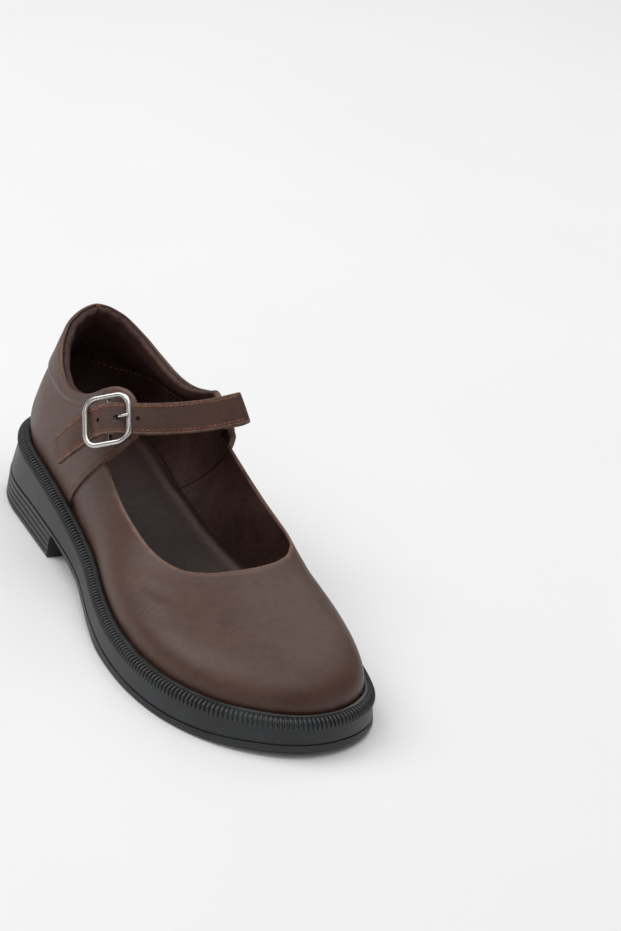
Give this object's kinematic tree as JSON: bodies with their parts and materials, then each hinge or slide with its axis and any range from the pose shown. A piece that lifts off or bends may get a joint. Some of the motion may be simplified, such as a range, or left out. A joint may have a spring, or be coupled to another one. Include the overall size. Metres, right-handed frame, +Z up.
{
  "type": "women's mary jane shoe",
  "caption": "Round-toed leather shoe with an open instep crossed by a buckled bar strap, on a moulded sole with a ribbed welt and a low block heel",
  "frame": {"origin": "on the floor, under the middle of the shoe's bounding box", "axes": "Z up; the toe points to -Y and the heel's back to +Y; -X is the outer side of the foot, where the buckle sits"},
  "size_m": [0.1016, 0.268, 0.0913],
  "materials": {
    "sole_rubber": "satin",
    "upper_leather": "satin",
    "insole_leather": "matte",
    "strap_leather": "satin",
    "buckle_metal": "satin"
  },
  "bodies": {
    "root": {"sole_unit": "sole_rubber", "upper": "upper_leather", "insole": "insole_leather", "instep_strap": "strap_leather", "strap_tab": "insole_leather", "buckle_frame": "buckle_metal", "buckle_prong": "buckle_metal"}
  },
  "joints": []
}
